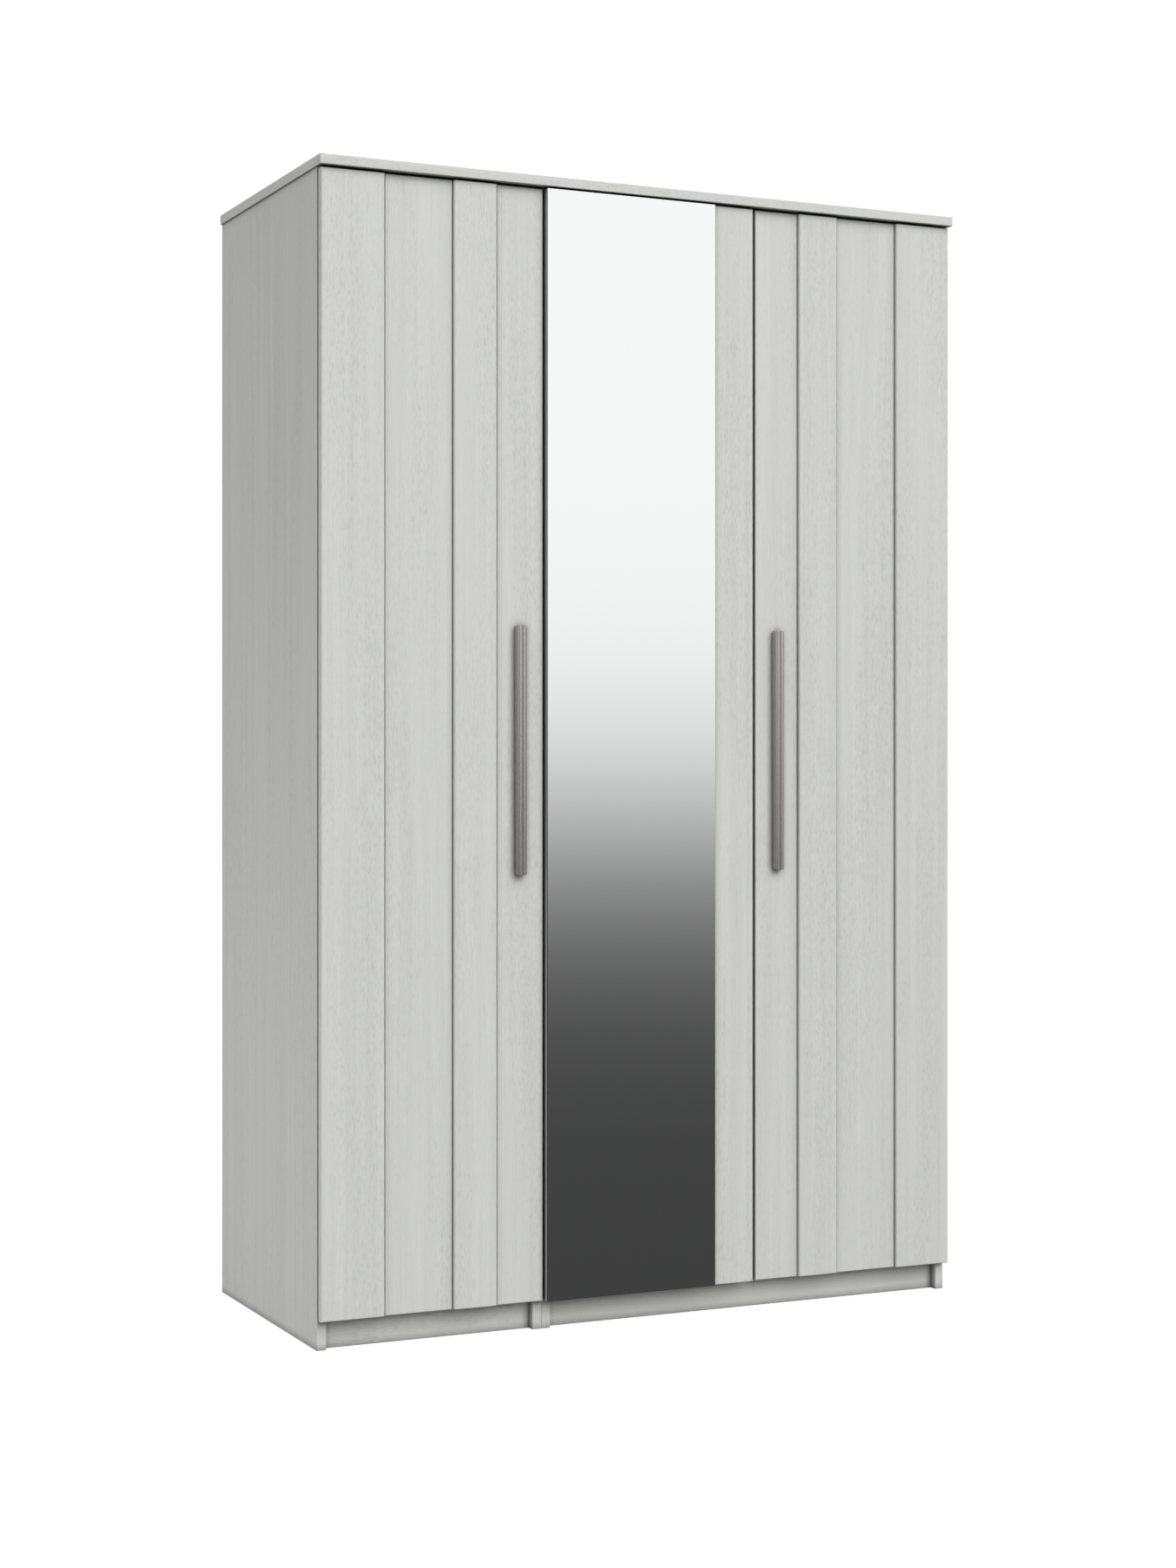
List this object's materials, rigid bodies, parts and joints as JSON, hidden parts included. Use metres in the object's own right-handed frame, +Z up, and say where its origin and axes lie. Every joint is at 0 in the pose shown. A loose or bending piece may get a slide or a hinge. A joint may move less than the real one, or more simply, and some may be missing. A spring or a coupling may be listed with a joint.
{
  "type": "three-door wardrobe",
  "caption": "Free-standing wardrobe: shelved side behind one hinged door, hanging side behind a mirrored door and a plain one, under one top board, with long bar handles.",
  "frame": {"origin": "on the floor, at the middle of the outline, handles included", "axes": "+Z up; the doors face -Y; +X to the right seen from the front"},
  "size_m": [1.116, 0.5088, 1.8],
  "materials": {
    "door_foil": "off-white foil over milled board, embossed with upright wood grain, silk sheen",
    "board_foil": "off-white foil over board, embossed wood grain, silk sheen",
    "back_hardboard": "thin hardboard, painted off-white",
    "mirror": "silvered glass with ground edges",
    "foam_tape": "white foam tape",
    "pewter_handle": "pewter grey, satin",
    "clear_pad": "soft translucent pad",
    "beech_dowel": "fluted beech",
    "bright_tube": "bright plated steel tube",
    "cast_zinc": "cast zinc",
    "plated_steel": "nickel-plated steel"
  },
  "bodies": {
    "root": {"cam_bolts": "plated_steel", "cam_locks": "cast_zinc", "hanging_rail": "bright_tube", "hat_shelf": "board_foil", "hinge_arm_screws": "plated_steel", "hinge_plate_screws": "plated_steel", "joining_bolts": "plated_steel", "joining_nuts": "plated_steel", "left_back_panel": "back_hardboard", "left_back_rail": "board_foil", "left_base_panel": "board_foil", "left_hinge_arms": "plated_steel", "left_hinge_plates": "plated_steel", "left_plinth": "board_foil", "left_shelf_1": "board_foil", "left_shelf_2": "board_foil", "left_shelf_3": "board_foil", "left_shelf_4": "board_foil", "left_side_panel": "board_foil", "middle_hinge_arms": "plated_steel", "middle_hinge_plates": "plated_steel", "middle_left_panel": "board_foil", "middle_right_panel": "board_foil", "plinth_dowels": "beech_dowel", "rail_socket_screws": "plated_steel", "rail_sockets": "bright_tube", "right_back_panel": "back_hardboard", "right_back_rail": "board_foil", "right_base_panel": "board_foil", "right_hinge_arms": "plated_steel", "right_hinge_plates": "plated_steel", "right_plinth": "board_foil", "right_side_panel": "board_foil", "shelf_pins": "plated_steel", "top_panel": "board_foil"},
    "left_door": {"left_cup_screws": "plated_steel", "left_door_bumpers": "clear_pad", "left_door_panel": "door_foil", "left_handle": "pewter_handle", "left_handle_bolts": "plated_steel", "left_hinge_cups": "plated_steel", "left_hinge_pins": "plated_steel"},
    "middle_door": {"middle_cup_screws": "plated_steel", "middle_door_bumpers": "clear_pad", "middle_door_panel": "door_foil", "middle_hinge_cups": "plated_steel", "middle_hinge_pins": "plated_steel", "mirror_glass": "mirror", "mirror_tape": "foam_tape"},
    "right_door": {"right_cup_screws": "plated_steel", "right_door_bumpers": "clear_pad", "right_door_panel": "door_foil", "right_handle": "pewter_handle", "right_handle_bolts": "plated_steel", "right_hinge_cups": "plated_steel", "right_hinge_pins": "plated_steel"}
  },
  "joints": [
    {"name": "left_door_swing", "type": "hinge", "parent": "root", "child": "left_door", "pos_m": [-0.546, -0.24065, 0.914], "axis": [0, 0, -1], "range_deg": [0, 95]},
    {"name": "middle_door_swing", "type": "hinge", "parent": "root", "child": "middle_door", "pos_m": [-0.176, -0.24065, 0.914], "axis": [0, 0, -1], "range_deg": [0, 95]},
    {"name": "right_door_swing", "type": "hinge", "parent": "root", "child": "right_door", "pos_m": [0.546, -0.24065, 0.914], "axis": [0, 0, 1], "range_deg": [0, 95]}
  ]
}
